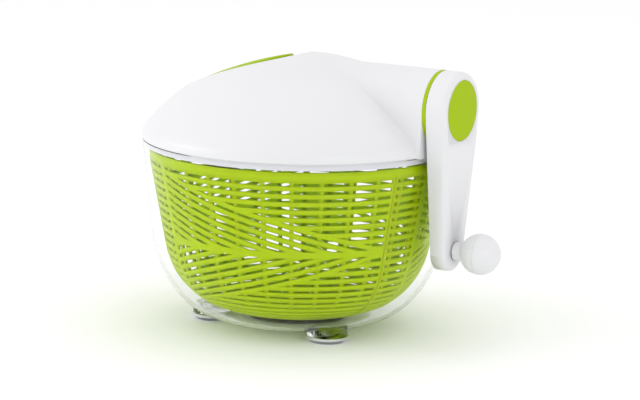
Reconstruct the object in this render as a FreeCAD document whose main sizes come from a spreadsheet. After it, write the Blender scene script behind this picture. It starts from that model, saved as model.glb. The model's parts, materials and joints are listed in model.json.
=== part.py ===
import FreeCAD, Part
import math
import os
from types import SimpleNamespace

import Sketcher

Vector = FreeCAD.Vector
Placement = FreeCAD.Placement
Rotation = FreeCAD.Rotation

# Side-crank salad spinner: a clear bowl on three feet, a slotted basket that spins on a pin in
# the bowl's floor, and a domed lid that carries a crank, a pair of bevel gears and a drive plate.
# Z is up and the crank's shaft points along +X. Every piece is drawn round the bowl's axis, and
# the whole then moves along X so that the origin is at table level under the middle of its length.

os.makedirs("parts", exist_ok=True)
doc = FreeCAD.newDocument("salad_spinner")

DRIVING_SIZES = {
    # bowl
    "bowl_radius": 126.4,
    "bowl_height": 151.0,
    "bowl_wall": 2.6,
    "belly_inset": 11.0,
    "belly_height": 51.2,
    "belly_round": 90.0,
    "floor_inset": 45.0,
    "floor_height": 5.2,
    "floor_round": 57.0,
    "foot_circle": 69.0,
    "foot_angle": 81.5,
    "foot_radius": 17.3,
    "foot_cup_wall": 1.2,
    "foot_cup_height": 4.2,
    "foot_pad_thickness": 1.6,
    "pin_radius": 3.0,
    "pin_length": 12.0,
    "pin_boss_radius": 9.0,
    "pin_boss_height": 3.0,
    # basket and its bearing cup
    "rim_gap": 2.3,
    "basket_drop": 6.5,
    "basket_wall": 2.4,
    "belly_gap": 10.4,
    "basket_belly_rise": 6.8,
    "basket_belly_round": 52.0,
    "basket_floor_inset": 35.0,
    "basket_floor_gap": 6.0,
    "basket_floor_round": 60.0,
    "basket_band": 9.0,
    "slot_height": 8.0,
    "slot_pitch": 15.5,
    "slot_share": 0.70,
    "cup_radius": 7.0,
    "cup_flange": 10.0,
    "cup_height": 11.0,
    "hub_wall": 3.5,
    "dog_width": 16.0,
    "dog_depth": 5.0,
    "dog_length": 7.0,
    "lug_width": 6.0,
    "lug_reach": 9.5,
    # lid
    "lid_overhang": 0.6,
    "lid_gap": 0.6,
    "lid_edge_height": 6.5,
    "lid_lip_round": 1.2,
    "lid_shoulder_round": 8.0,
    "lid_wall": 2.6,
    "dome_rise": 62.7,
    "facet_tilt": 20.0,
    "facet_depth": 7.5,
    "facet_radius": 480.0,
    "pad_radius": 40.0,
    "pad_sink": 2.3,
    "pad_crown": 3.1,
    "pad_edge": 0.25,
    "tunnel_radius": 30.4,
    "crank_rise": 36.5,
    "base_lift": 3.4,
    "base_plate": 2.5,
    "skirt_gap": 1.0,
    "skirt_wall": 2.2,
    "skirt_drop": 4.6,
    "screw_circle": 95.0,
    "screw_radius": 1.6,
    "screw_head": 3.4,
    "screw_boss": 4.2,
    "screw_length": 14.0,
    # crank and shaft
    "shaft_radius": 6.0,
    "shaft_square": 8.4,
    "bush_wall": 2.4,
    "bush_flange": 3.0,
    "bush_lip": 1.5,
    "ring_thickness": 3.0,
    "ring_radius": 30.2,
    "arm_gap": 0.4,
    "arm_thickness": 16.4,
    "arm_head_radius": 30.2,
    "arm_end_radius": 16.5,
    "arm_rake": 3.8,
    "arm_edge_round": 4.0,
    "crank_throw": 111.6,
    "disc_radius": 23.9,
    "disc_thickness": 3.0,
    "knob_radius": 16.2,
    "knob_reach": 23.0,
    "neck_radius": 7.2,
    "knob_pin_radius": 3.0,
    # gears and spindle
    "tooth_module": 1.5,
    "gear_teeth": 33,
    "pinion_teeth": 11,
    "tooth_length": 7.5,
    "spindle_radius": 4.0,
    "plate_gap": 1.0,
    "plate_thickness": 2.0,
    "plate_inset": 3.6,
    "bracket_thickness": 7.0,
    "bracket_width": 46.0,
    # fits
    "running": 0.05,
    "seat": 0.3,
}

sheet = doc.addObject("Spreadsheet::Sheet", "Sizes")
for row, (alias, number) in enumerate(DRIVING_SIZES.items(), start=1):
    sheet.set(f"A{row}", alias)
    sheet.set(f"B{row}", str(number))
    sheet.setAlias(f"B{row}", alias)
doc.recompute()


class Size:
    """A length that carries its number and the sheet formula that gives it."""

    def __init__(self, number, formula):
        self.number = float(number)
        self.formula = formula

    def __add__(self, other):
        other = as_size(other)
        return Size(self.number + other.number, f"({self.formula} + {other.formula})")

    def __sub__(self, other):
        other = as_size(other)
        return Size(self.number - other.number, f"({self.formula} - {other.formula})")

    def __mul__(self, other):
        other = as_size(other)
        return Size(self.number * other.number, f"({self.formula} * {other.formula})")

    def __truediv__(self, other):
        other = as_size(other)
        return Size(self.number / other.number, f"({self.formula} / {other.formula})")

    def __radd__(self, other):
        return as_size(other) + self

    def __rsub__(self, other):
        return as_size(other) - self

    def __rmul__(self, other):
        return as_size(other) * self

    def __neg__(self):
        return Size(-self.number, f"(0 - {self.formula})")


def as_size(value):
    return value if isinstance(value, Size) else Size(value, repr(float(value)))


def cosine(angle):
    return Size(math.cos(math.radians(angle.number)), f"cos({angle.formula})")


def sine(angle):
    return Size(math.sin(math.radians(angle.number)), f"sin({angle.formula})")


d = SimpleNamespace(**{alias: Size(number, f"Sizes.{alias}") for alias, number in DRIVING_SIZES.items()})


def bind(owner, name, value):
    """Tie a property to the sheet, or set it when the value is a plain number."""
    if isinstance(value, Size):
        owner.setExpression(name, value.formula)
    else:
        setattr(owner, name, value)


# ---------------------------------------------------------------- heights and radii that pieces share

lid_edge = d.bowl_height + d.lid_gap
lid_radius = d.bowl_radius + d.lid_overhang
dome_edge = lid_edge + d.lid_edge_height
dome_radius = (lid_radius * lid_radius + d.dome_rise * d.dome_rise) / (2 * d.dome_rise)
dome_centre = dome_edge + d.dome_rise - dome_radius
crank_height = lid_edge + d.crank_rise
facet_reach = dome_radius - d.facet_depth - d.facet_radius

belly_radius = d.bowl_radius - d.belly_inset
bowl_floor_radius = d.bowl_radius - d.floor_inset
bowl_floor_top = d.floor_height + d.bowl_wall
pin_top = bowl_floor_top + d.pin_length

basket_top = d.bowl_height - d.basket_drop
basket_radius = d.bowl_radius - d.bowl_wall - d.rim_gap
basket_belly_radius = belly_radius - d.belly_gap
basket_belly_height = d.belly_height + d.basket_belly_rise
basket_floor = bowl_floor_top + d.basket_floor_gap
basket_floor_radius = basket_radius - d.basket_floor_inset
cup_bottom = bowl_floor_top + d.pin_boss_height + d.seat
cup_top = cup_bottom + d.cup_height
hub_bore_top = cup_top + d.seat
hub_top = hub_bore_top + d.basket_wall

base_bottom = lid_edge + d.base_lift - d.base_plate
base_top = lid_edge + d.base_lift
skirt_radius = d.bowl_radius - d.bowl_wall - d.skirt_gap
plate_bottom = basket_top + d.plate_gap
plate_top = plate_bottom + d.plate_thickness

gear_pitch = d.tooth_module * d.gear_teeth / 2
pinion_pitch = d.tooth_module * d.pinion_teeth / 2
gear_hub_end = pinion_pitch + 11.75
bracket_face = gear_hub_end + d.seat + d.bush_lip
bush_outer = d.shaft_radius + d.bush_wall
arm_face = lid_radius + d.ring_thickness + d.arm_gap
arm_outer = arm_face + d.arm_thickness
knob_height = crank_height - d.crank_throw
knob_centre = arm_outer - d.arm_rake + d.knob_reach
axis_shift = (lid_radius - knob_centre - d.knob_radius) / 2


# ---------------------------------------------------------------- drawing helpers


def make_body(label, height=0):
    """Start a body whose local origin stands at the given height on the axis."""
    body = doc.addObject("PartDesign::Body", label)
    body.Label = label
    if isinstance(height, Size):
        body.setExpression("Placement.Base.z", height.formula)
    return body


def make_sketch(body, name, plane, lift=0):
    """Attach a new sketch to one of the body's own planes, lifted along its normal."""
    sketch = body.newObject("Sketcher::SketchObject", f"{body.Name}_{name}")
    support = next(item for item in body.Origin.OriginFeatures if item.Role == plane)
    sketch.AttachmentSupport = [(support, "")]
    sketch.MapMode = "FlatFace"
    if isinstance(lift, Size):
        sketch.setExpression("AttachmentOffset.Base.z", lift.formula)
    return sketch


def pin_point(sketch, geometry, end, across, up):
    """Hold one point of the sketch at bound distances from the sketch's origin."""
    for kind, axis, along in (("DistanceX", -2, across), ("DistanceY", -1, up)):
        if not isinstance(along, Size) and along == 0:
            sketch.addConstraint(Sketcher.Constraint("PointOnObject", geometry, end, axis))
            continue
        along = as_size(along)
        index = sketch.addConstraint(Sketcher.Constraint(kind, -1, 1, geometry, end, along.number))
        sketch.setExpression(f"Constraints[{index}]", along.formula)


def corner_arc(before, corner, after, radius):
    """Give the arc that rounds a corner, its two ends and which end comes first."""
    back = (before - corner).normalize()
    ahead = (after - corner).normalize()
    half = back.getAngle(ahead) / 2
    start = corner + back * (radius / math.tan(half))
    finish = corner + ahead * (radius / math.tan(half))
    centre = corner + (back + ahead).normalize() * (radius / math.sin(half))
    turns_left = (corner - before).cross(after - corner).z > 0
    angles = [math.atan2(point.y - centre.y, point.x - centre.x) for point in (start, finish)]
    if not turns_left:
        angles.reverse()
    circle = Part.Circle(centre, Vector(0, 0, 1), radius)
    arc = Part.ArcOfCircle(circle, angles[0], angles[1])
    return arc, start, finish, (1, 2) if turns_left else (2, 1)


def draw_chain(sketch, points, rounds, closed):
    """Draw straight runs through the points, with arcs in the rounded corners.

    Returns the index of each run, so that the caller can hold the runs in place.
    """
    count = len(points)
    entry = list(points)
    leave = list(points)
    arcs = {}
    for index, radius in enumerate(rounds):
        if radius:
            arc, start, finish, order = corner_arc(
                points[index - 1], points[index], points[(index + 1) % count], radius.number)
            entry[index] = start
            leave[index] = finish
            arcs[index] = (sketch.addGeometry(arc, False), order)
    runs = []
    for index in range(count if closed else count - 1):
        following = (index + 1) % count
        runs.append(sketch.addGeometry(Part.LineSegment(leave[index], entry[following]), False))
    for index, run in enumerate(runs):
        following = (index + 1) % count
        if not closed and following == count - 1:
            break
        after = runs[following]
        if following in arcs:
            arc, (first, last) = arcs[following]
            sketch.addConstraint(Sketcher.Constraint("Tangent", run, 2, arc, first))
            sketch.addConstraint(Sketcher.Constraint("Tangent", arc, last, after, 1))
            bound = sketch.addConstraint(Sketcher.Constraint("Radius", arc, rounds[following].number))
            sketch.setExpression(f"Constraints[{bound}]", rounds[following].formula)
        else:
            sketch.addConstraint(Sketcher.Constraint("Coincident", run, 2, after, 1))
    return runs


def split_corners(corners):
    points = [Vector(as_size(corner[0]).number, as_size(corner[1]).number, 0) for corner in corners]
    rounds = [as_size(corner[2]) if len(corner) > 2 else None for corner in corners]
    return points, rounds


def draw_outline(sketch, corners):
    """Draw a closed outline; each corner is (across, up) or (across, up, rounding radius)."""
    points, rounds = split_corners(corners)
    runs = draw_chain(sketch, points, rounds, closed=True)
    for index, corner in enumerate(corners):
        if rounds[index]:
            mark = sketch.addGeometry(Part.Point(points[index]), True)
            pin_point(sketch, mark, 1, corner[0], corner[1])
            for run in (runs[index - 1], runs[index]):
                sketch.addConstraint(Sketcher.Constraint("PointOnObject", mark, 1, run))
        else:
            pin_point(sketch, runs[index], 1, corner[0], corner[1])


def draw_inside(sketch, corners, wall):
    """Draw the hollow of a turned shell: runs parallel to the outer ones, one wall inside them.

    The corners run from the rim to the axis; the hollow is closed along the axis and the rim.
    """
    points, rounds = split_corners(corners)
    guides = []
    for start, finish in zip(corners, corners[1:]):
        ends = split_corners((start[:2], finish[:2]))[0]
        guide = sketch.addGeometry(Part.LineSegment(ends[0], ends[1]), True)
        pin_point(sketch, guide, 1, start[0], start[1])
        pin_point(sketch, guide, 2, finish[0], finish[1])
        guides.append(guide)
    shifts = []
    for start, finish in zip(points, points[1:]):
        along = (finish - start).normalize()
        shifts.append(Vector(along.y, -along.x, 0) * wall.number)
    inner = [Vector(points[0].x + shifts[0].x, points[0].y, 0)]
    for corner, before, after in zip(points[1:], shifts, shifts[1:]):
        share = 1 + before.dot(after) / wall.number ** 2
        inner.append(corner + (before + after) / share)
    inner.append(Vector(0, points[-1].y + shifts[-1].y, 0))
    inner.append(Vector(0, points[0].y, 0))
    inner_rounds = [None] + [radius - wall for radius in rounds[1:-1]] + [None, None]
    runs = draw_chain(sketch, inner, inner_rounds, closed=True)
    for guide, run in zip(guides, runs):
        sketch.addConstraint(Sketcher.Constraint("Parallel", guide, run))
        bound = sketch.addConstraint(Sketcher.Constraint("Distance", run, 1, guide, wall.number))
        sketch.setExpression(f"Constraints[{bound}]", wall.formula)
    pin_point(sketch, runs[-1], 1, 0, corners[0][1])
    sketch.addConstraint(Sketcher.Constraint("Horizontal", runs[-1]))
    sketch.addConstraint(Sketcher.Constraint("PointOnObject", runs[-2], 1, -2))


def draw_circle(sketch, across, up, radius):
    centre = Vector(as_size(across).number, as_size(up).number, 0)
    radius = as_size(radius)
    circle = sketch.addGeometry(Part.Circle(centre, Vector(0, 0, 1), radius.number), False)
    pin_point(sketch, circle, 3, across, up)
    bound = sketch.addConstraint(Sketcher.Constraint("Radius", circle, radius.number))
    sketch.setExpression(f"Constraints[{bound}]", radius.formula)


def draw_box(sketch, left, right, bottom, top):
    draw_outline(sketch, [(left, bottom), (right, bottom), (right, top), (left, top)])


def turn(body, sketch, axis="V_Axis", cut=False):
    """Turn a sketch about one of its axes, as a solid or as a groove."""
    kind = "Groove" if cut else "Revolution"
    feature = body.newObject(f"PartDesign::{kind}", f"{sketch.Name}_{kind.lower()}")
    feature.Profile = sketch
    feature.ReferenceAxis = (sketch, [axis])
    feature.Angle = 360
    return feature


def pad(body, sketch, length, reversed_way=False):
    feature = body.newObject("PartDesign::Pad", f"{sketch.Name}_pad")
    feature.Profile = sketch
    bind(feature, "Length", length)
    feature.Reversed = reversed_way
    return feature


def pocket(body, sketch, length=None, reversed_way=False, both_ways=False):
    """Cut a sketch out of the body, to a depth or right through."""
    feature = body.newObject("PartDesign::Pocket", f"{sketch.Name}_pocket")
    feature.Profile = sketch
    feature.Reversed = reversed_way
    if both_ways:
        feature.SideType = "Symmetric"
    if length is None:
        feature.Type = "ThroughAll"
    else:
        bind(feature, "Length", length)
    return feature


def repeat(body, feature, count, role="Z_Axis"):
    """Repeat a feature round one of the body's own axes."""
    pattern = body.newObject("PartDesign::PolarPattern", f"{feature.Name}_ring")
    axis = next(item for item in body.Origin.OriginFeatures if item.Role == role)
    pattern.Originals = [feature]
    pattern.Axis = (axis, [""])
    pattern.Angle = 360
    pattern.Occurrences = count
    body.Tip = pattern
    return pattern


def turned_piece(label, corners, axis="V_Axis", height=0):
    """A piece that is one turned outline; each corner is (across, up) in the XZ plane."""
    body = make_body(label, height)
    sketch = make_sketch(body, "outline", "XZ_Plane")
    draw_outline(sketch, corners)
    turn(body, sketch, axis)
    return body


def primitive(kind, name, where=(0, 0, 0), rotation=None, **sizes):
    """A Part primitive with bound sizes and a bound place."""
    item = doc.addObject(f"Part::{kind}", name)
    for size_name, value in sizes.items():
        bind(item, size_name, value)
    if rotation:
        item.Placement = Placement(Vector(), rotation)
    for letter, value in zip("xyz", where):
        if isinstance(value, Size):
            item.setExpression(f"Placement.Base.{letter}", value.formula)
    return item


ALONG_X = Rotation(Vector(0, 1, 0), 90)
ALONG_Y = Rotation(Vector(1, 0, 0), -90)


def rod(name, start, finish, radius, height):
    """A cylinder along X from start to finish, at the given height."""
    return primitive("Cylinder", name, (start, 0, height), ALONG_X, Radius=radius, Height=finish - start)


def block(name, low, high):
    """A box between two corners."""
    spans = [as_size(top) - bottom for bottom, top in zip(low, high)]
    where = [as_size(value) for value in low]
    return primitive("Box", name, where, Length=spans[0], Width=spans[1], Height=spans[2])


def combine(kind, name, *pieces):
    """Fuse, cut or intersect pieces; a cut takes every later piece from the first."""
    if kind == "Cut":
        item = doc.addObject("Part::Cut", name)
        item.Base = pieces[0]
        tools = pieces[1:]
        item.Tool = tools[0] if len(tools) == 1 else combine("MultiFuse", f"{name}_tools", *tools)
        return item
    item = doc.addObject(f"Part::{kind}", name)
    item.Shapes = list(pieces)
    return item


# ---------------------------------------------------------------- bowl and feet


def make_bowl():
    """Clear moulded bowl, its wall leaning in to a round belly and a flat floor."""
    body = make_body("bowl")
    profile = [
        (d.bowl_radius, d.bowl_height),
        (belly_radius, d.belly_height, d.belly_round),
        (bowl_floor_radius, d.floor_height, d.floor_round),
        (0, d.floor_height),
    ]
    outside = make_sketch(body, "outside", "XZ_Plane")
    draw_outline(outside, profile + [(0, d.bowl_height)])
    turn(body, outside)

    boss = make_sketch(body, "foot_boss", "XY_Plane", d.foot_pad_thickness + d.foot_cup_wall)
    draw_circle(boss, d.foot_circle * cosine(d.foot_angle), d.foot_circle * sine(d.foot_angle),
                d.foot_radius - d.foot_cup_wall)
    boss_pad = pad(body, boss, d.floor_height + d.bowl_wall)
    repeat(body, boss_pad, 3)

    inside = make_sketch(body, "inside", "XZ_Plane")
    draw_inside(inside, profile, d.bowl_wall)
    turn(body, inside, cut=True)

    pin_boss = make_sketch(body, "pin_boss", "XZ_Plane")
    draw_box(pin_boss, d.pin_radius, d.pin_boss_radius, bowl_floor_top - d.bowl_wall / 2,
             bowl_floor_top + d.pin_boss_height)
    body.Tip = turn(body, pin_boss)
    return body


def make_feet():
    """Three bright cups pressed over the bowl's foot bosses, each with a rubber pad under it."""
    cup_top_height = d.foot_pad_thickness + d.foot_cup_height
    inner = d.foot_radius - d.foot_cup_wall
    cup = [
        (0, d.foot_pad_thickness), (inner - 1.6, d.foot_pad_thickness),
        (d.foot_radius, d.foot_pad_thickness + 1.8), (d.foot_radius, d.floor_height - d.seat),
        (inner, d.floor_height - d.seat), (inner, d.foot_pad_thickness + d.foot_cup_wall),
        (0, d.foot_pad_thickness + d.foot_cup_wall),
    ]
    pad_outline = [(0, 0), (inner - 3, 0), (inner - 2.2, d.foot_pad_thickness), (0, d.foot_pad_thickness)]
    made = []
    for label, corners in (("foot_cups", cup), ("foot_pads", pad_outline)):
        body = make_body(label)
        body.AllowCompound = True
        body.Placement = Placement(Vector(), Rotation(Vector(0, 0, 1), 1))
        body.setExpression("Placement.Rotation.Angle", f"{d.foot_angle.formula} * 1deg")
        sketch = make_sketch(body, "outline", "XZ_Plane")
        draw_outline(sketch, [(d.foot_circle + across, up) for across, up in corners])
        turned = turn(body, add_turning_line(sketch, d.foot_circle), "Axis0")
        repeat(body, turned, 3)
        made.append(body)
    return made


def add_turning_line(sketch, across):
    """Add an upright construction line that the outline is turned about."""
    line = sketch.addGeometry(
        Part.LineSegment(Vector(across.number, 0, 0), Vector(across.number, 10, 0)), True)
    pin_point(sketch, line, 1, across, 0)
    pin_point(sketch, line, 2, across, 10)
    return sketch


def make_pivot_pin():
    """Steel pin with a round nose, pressed into the boss in the middle of the bowl's floor."""
    return turned_piece("pivot_pin", [
        (0, bowl_floor_top), (d.pin_radius, bowl_floor_top),
        (d.pin_radius, pin_top, d.pin_radius * 0.8), (0, pin_top)])


# ---------------------------------------------------------------- basket


def make_bearing_cup():
    """Loose acetal cup that stands on the pin and stays in the basket's hub."""
    bore = d.pin_radius + d.running
    return turned_piece("bearing_cup", [
        (bore, cup_bottom), (d.cup_flange, cup_bottom), (d.cup_flange, basket_floor - d.seat),
        (d.cup_radius, basket_floor - d.seat), (d.cup_radius, cup_top), (0, cup_top),
        (0, pin_top + d.seat), (bore, pin_top + d.seat)])


def make_basket():
    """Green moulded basket with rows of long slots, a hub and driving lugs inside its rim."""
    body = make_body("basket")
    profile = [
        (basket_radius, basket_top),
        (basket_belly_radius, basket_belly_height, d.basket_belly_round),
        (basket_floor_radius, basket_floor, d.basket_floor_round),
        (0, basket_floor),
    ]
    outside = make_sketch(body, "outside", "XZ_Plane")
    draw_outline(outside, profile + [(0, basket_top)])
    turn(body, outside)
    inside = make_sketch(body, "inside", "XZ_Plane")
    draw_inside(inside, profile, d.basket_wall)
    turn(body, inside, cut=True)

    hub = make_sketch(body, "hub", "XZ_Plane")
    draw_box(hub, 0, d.cup_radius + d.hub_wall, basket_floor, hub_top)
    turn(body, hub)
    bore = make_sketch(body, "bore", "XZ_Plane")
    draw_box(bore, 0, d.cup_radius + d.running, basket_floor - d.basket_wall, hub_bore_top)
    turn(body, bore, cut=True)

    lugs = make_sketch(body, "lugs", "XY_Plane", basket_top - d.dog_length)
    near = d.dog_width / 2 + 1
    draw_box(lugs, basket_radius - d.lug_reach, basket_radius - d.basket_wall - 0.5, near, near + d.lug_width)
    draw_box(lugs, basket_radius - d.lug_reach, basket_radius - d.basket_wall - 0.5,
             -near - d.lug_width, -near)
    repeat(body, pad(body, lugs, d.dog_length - d.seat), 4)

    slots = make_sketch(body, "slots", "YZ_Plane")
    columns = 20
    rows = 6
    lean = (basket_radius - basket_belly_radius) / (basket_top - basket_belly_height)
    for row in range(rows):
        top = basket_top - d.basket_band - d.slot_pitch * row
        local_radius = basket_radius - (basket_top - top) * lean
        half = local_radius * d.slot_share * (math.pi / columns)
        draw_box(slots, -half, half, top - d.slot_height, top)
    repeat(body, pocket(body, slots, reversed_way=True), columns)

    drains = make_sketch(body, "drains", "XY_Plane", basket_floor)
    draw_box(drains, d.cup_radius + d.hub_wall + 8, basket_floor_radius * 0.6, -4.0, 4.0)
    repeat(body, pocket(body, drains, reversed_way=True), 8)
    return body


# ---------------------------------------------------------------- lid


def rounded_drum(label):
    """Upright drum that eases the lid's wall into the dome, its top running along the dome's tangent."""
    run = 0.6
    top = dome_edge + lid_radius * run
    slant_end = lid_radius - (dome_edge - dome_centre) * run
    return turned_piece(label, [
        (0, lid_edge), (lid_radius, lid_edge, d.lid_lip_round), (lid_radius, dome_edge, d.lid_shoulder_round),
        (slant_end, top), (0, top)])


def dome_solid(name, shrink, facet_extra):
    """The lid's solid form, made smaller all round by shrink, with its flattened back."""
    radius = lid_radius - shrink
    bottom = lid_edge - 1 if shrink else lid_edge
    ball = primitive("Sphere", f"{name}_ball", (0, 0, dome_centre), Radius=dome_radius - shrink)
    if shrink:
        drum = primitive("Cylinder", f"{name}_drum", (0, 0, bottom), Radius=radius,
                         Height=d.lid_edge_height + d.dome_rise + 2)
    else:
        drum = rounded_drum(f"{name}_drum")
    cap = combine("MultiCommon", f"{name}_cap", ball, drum)
    length = lid_radius - shrink
    arch = primitive("Cylinder", f"{name}_arch", (0, 0, crank_height), ALONG_X,
                     Radius=d.tunnel_radius - shrink, Height=length)
    half_width = d.tunnel_radius - shrink
    legs = block(f"{name}_legs", (0, -half_width, bottom), (length, half_width, crank_height))
    body = combine("MultiFuse", f"{name}_body", cap, arch, legs)
    facet = primitive(
        "Cylinder", f"{name}_facet",
        (-facet_reach * sine(d.facet_tilt), -lid_radius - 5,
         dome_centre + facet_reach * cosine(d.facet_tilt)),
        ALONG_Y, Radius=d.facet_radius - shrink - facet_extra, Height=lid_radius * 2 + 10)
    return combine("MultiCommon", name, body, facet)


def facet_place(item, offset, shift=0):
    """Stand an item on the facet's middle, square to it, sunk or raised by the offset."""
    item.Placement = Placement(Vector(), Rotation(Vector(0, -1, 0), 1))
    item.setExpression("Placement.Rotation.Angle", f"{d.facet_tilt.formula} * 1deg")
    reach = dome_radius - d.facet_depth + offset
    item.setExpression("Placement.Base.x", (shift - reach * sine(d.facet_tilt)).formula)
    item.setExpression("Placement.Base.z", (dome_centre + reach * cosine(d.facet_tilt)).formula)


def make_lid_shell():
    """White dome with a flattened back for the palm pad and a tunnel for the crank's shaft."""
    outer = dome_solid("lid_outer", 0, 0)
    inner = dome_solid("lid_inner", d.lid_wall, d.pad_sink)
    bosses = []
    bores = []
    for index in range(6):
        angle = as_size(30 + 60 * index)
        where = (d.screw_circle * cosine(angle), d.screw_circle * sine(angle), base_top)
        bosses.append(primitive("Cylinder", f"lid_boss_{index}", where, Radius=d.screw_boss,
                                Height=d.dome_rise))
        bores.append(primitive("Cylinder", f"lid_boss_bore_{index}", where, Radius=d.screw_radius,
                               Height=d.screw_length))
    shell = combine("Cut", "lid_hollow", outer, inner)
    boss_rods = combine("MultiFuse", "lid_boss_rods", *bosses)
    stiff = combine("MultiFuse", "lid_stiffened", shell,
                    combine("MultiCommon", "lid_bosses", boss_rods, outer))
    seat = primitive("Cylinder", "lid_pad_seat", Radius=d.pad_radius + d.seat / 2, Height=30)
    facet_place(seat, -d.pad_sink)
    shaft_hole = rod("lid_shaft_hole", lid_radius - d.lid_wall - 2, lid_radius + 2, bush_outer, crank_height)
    drilled = combine("Cut", "lid_shell", stiff, seat, shaft_hole, *bores)
    drilled.Label = "lid_shell"
    return drilled


def make_palm_pad():
    """Green soft-touch pad, slightly crowned, set into the lid's flattened back."""
    body = make_body("palm_pad")
    sketch = make_sketch(body, "outline", "XZ_Plane")
    draw_outline(sketch, [
        (0, 0), (d.pad_radius, 0), (d.pad_radius, d.pad_sink + d.pad_edge, 1),
        (d.pad_radius * 0.5, d.pad_sink + d.pad_crown,
         d.pad_radius * d.pad_radius / (d.pad_crown - d.pad_edge) * 0.44),
        (0, d.pad_sink + d.pad_crown)])
    turn(body, sketch)
    facet_place(body, -d.pad_sink, axis_shift)
    return body


def make_lid_base():
    """Plate that closes the lid from below, with a skirt that sits inside the bowl's rim."""
    boss = d.spindle_radius + d.bush_wall + 3
    bore = d.spindle_radius + d.bush_wall
    body = make_body("lid_base")
    sketch = make_sketch(body, "outline", "XZ_Plane")
    draw_outline(sketch, [
        (bore, base_bottom - 3), (boss, base_bottom - 3), (boss, base_bottom),
        (skirt_radius - d.skirt_wall, base_bottom),
        (skirt_radius - d.skirt_wall, d.bowl_height - d.skirt_drop),
        (skirt_radius, d.bowl_height - d.skirt_drop), (skirt_radius, base_bottom),
        (lid_radius - d.lid_wall - d.seat, base_bottom), (lid_radius - d.lid_wall - d.seat, base_top),
        (boss, base_top), (boss, base_top + 2.4), (bore, base_top + 2.4)])
    turn(body, sketch)
    holes = make_sketch(body, "screw_holes", "XY_Plane")
    angle = as_size(30)
    draw_circle(holes, d.screw_circle * cosine(angle), d.screw_circle * sine(angle), d.screw_radius)
    repeat(body, pocket(body, holes, reversed_way=True), 6)
    return body


def make_lid_screws():
    """Six screws that hold the base plate to the bosses inside the dome."""
    body = make_body("lid_screws")
    body.AllowCompound = True
    body.Placement = Placement(Vector(), Rotation(Vector(0, 0, 1), 30))
    body.setExpression("Placement.Base.z", base_bottom.formula)
    sketch = make_sketch(body, "outline", "XZ_Plane")
    centre = d.screw_circle
    draw_outline(sketch, [
        (centre, -2.0), (centre + d.screw_head, -2.0), (centre + d.screw_head, 0),
        (centre + d.screw_radius, 0), (centre + d.screw_radius, d.screw_length),
        (centre, d.screw_length)])
    turned = turn(body, add_turning_line(sketch, centre), "Axis0")
    repeat(body, turned, 6)
    return body


def make_bracket():
    """Upright bracket on the base plate that carries the shaft's inner bush."""
    body = make_body("shaft_bracket", crank_height)
    foot = base_top - crank_height
    wide = d.bracket_width / 2
    head = bush_outer + 5
    upright = make_sketch(body, "upright", "YZ_Plane", bracket_face)
    draw_outline(upright, [(-wide, foot), (wide, foot), (head, head, 8), (-head, head, 8)])
    pad(body, upright, d.bracket_thickness)
    flange = make_sketch(body, "foot", "XY_Plane", foot)
    draw_box(flange, bracket_face, bracket_face + d.bracket_thickness + 16, -wide, wide)
    pad(body, flange, 3)
    bore = make_sketch(body, "bore", "YZ_Plane", bracket_face - 1)
    draw_circle(bore, 0, 0, bush_outer)
    pocket(body, bore, d.bracket_thickness + 2, reversed_way=True)
    holes = make_sketch(body, "screw_holes", "XY_Plane", foot - 1)
    for side in (-1, 1):
        draw_circle(holes, bracket_face + d.bracket_thickness + 8, side * (wide - 8), d.screw_radius)
    body.Tip = pocket(body, holes, 5, reversed_way=True)
    return body


def make_bracket_screws():
    """Two screws through the bracket's foot into the base plate."""
    wide = d.bracket_width / 2
    across = bracket_face + d.bracket_thickness + 8
    pieces = []
    for index, side in enumerate((-1, 1)):
        place = side * (wide - 8)
        shank = primitive("Cylinder", f"bracket_shank_{index}", (across, place, base_top),
                          Radius=d.screw_radius, Height=4)
        head = primitive("Cylinder", f"bracket_head_{index}", (across, place, base_top + 3),
                         Radius=d.screw_head, Height=2.2)
        pieces.append(combine("MultiFuse", f"bracket_screw_{index}", shank, head))
    group = doc.addObject("Part::Compound", "bracket_screws")
    group.Links = pieces
    group.Label = "bracket_screws"
    return group


def make_bushes():
    """Flanged acetal bushes for the crank's shaft and for the spindle."""
    bore = d.shaft_radius + d.running
    lip = bush_outer + d.bush_flange
    inner_face = bracket_face
    inner = turned_piece("inner_bush", [
        (inner_face - d.bush_lip, bore), (inner_face - d.bush_lip, lip), (inner_face, lip),
        (inner_face, bush_outer), (inner_face + d.bracket_thickness, bush_outer),
        (inner_face + d.bracket_thickness, bore)], "H_Axis", crank_height)
    wall_face = lid_radius - d.lid_wall
    outer = turned_piece("outer_bush", [
        (wall_face - 6, bore), (wall_face - 6, bush_outer), (wall_face - d.bush_lip, bush_outer),
        (wall_face - d.bush_lip, lip), (wall_face, lip), (wall_face, bush_outer),
        (lid_radius, bush_outer), (lid_radius, bore)], "H_Axis", crank_height)
    spindle_bore = d.spindle_radius + d.running
    spindle_outer = d.spindle_radius + d.bush_wall
    low = base_bottom - 3
    spindle = turned_piece("spindle_bush", [
        (spindle_bore, low - d.bush_lip), (spindle_outer + 2.5, low - d.bush_lip),
        (spindle_outer + 2.5, low), (spindle_outer, low), (spindle_outer, base_top + 2.4),
        (spindle_bore, base_top + 2.4)])
    return [inner, outer, spindle]


def make_bearing_ring():
    """Green ring between the tunnel's end and the crank's arm."""
    start = lid_radius
    return turned_piece("bearing_ring", [
        (start, d.shaft_radius + 1), (start, d.ring_radius),
        (start + d.ring_thickness, d.ring_radius), (start + d.ring_thickness, d.shaft_radius + 1)],
        "H_Axis", crank_height)


# ---------------------------------------------------------------- crank


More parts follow.
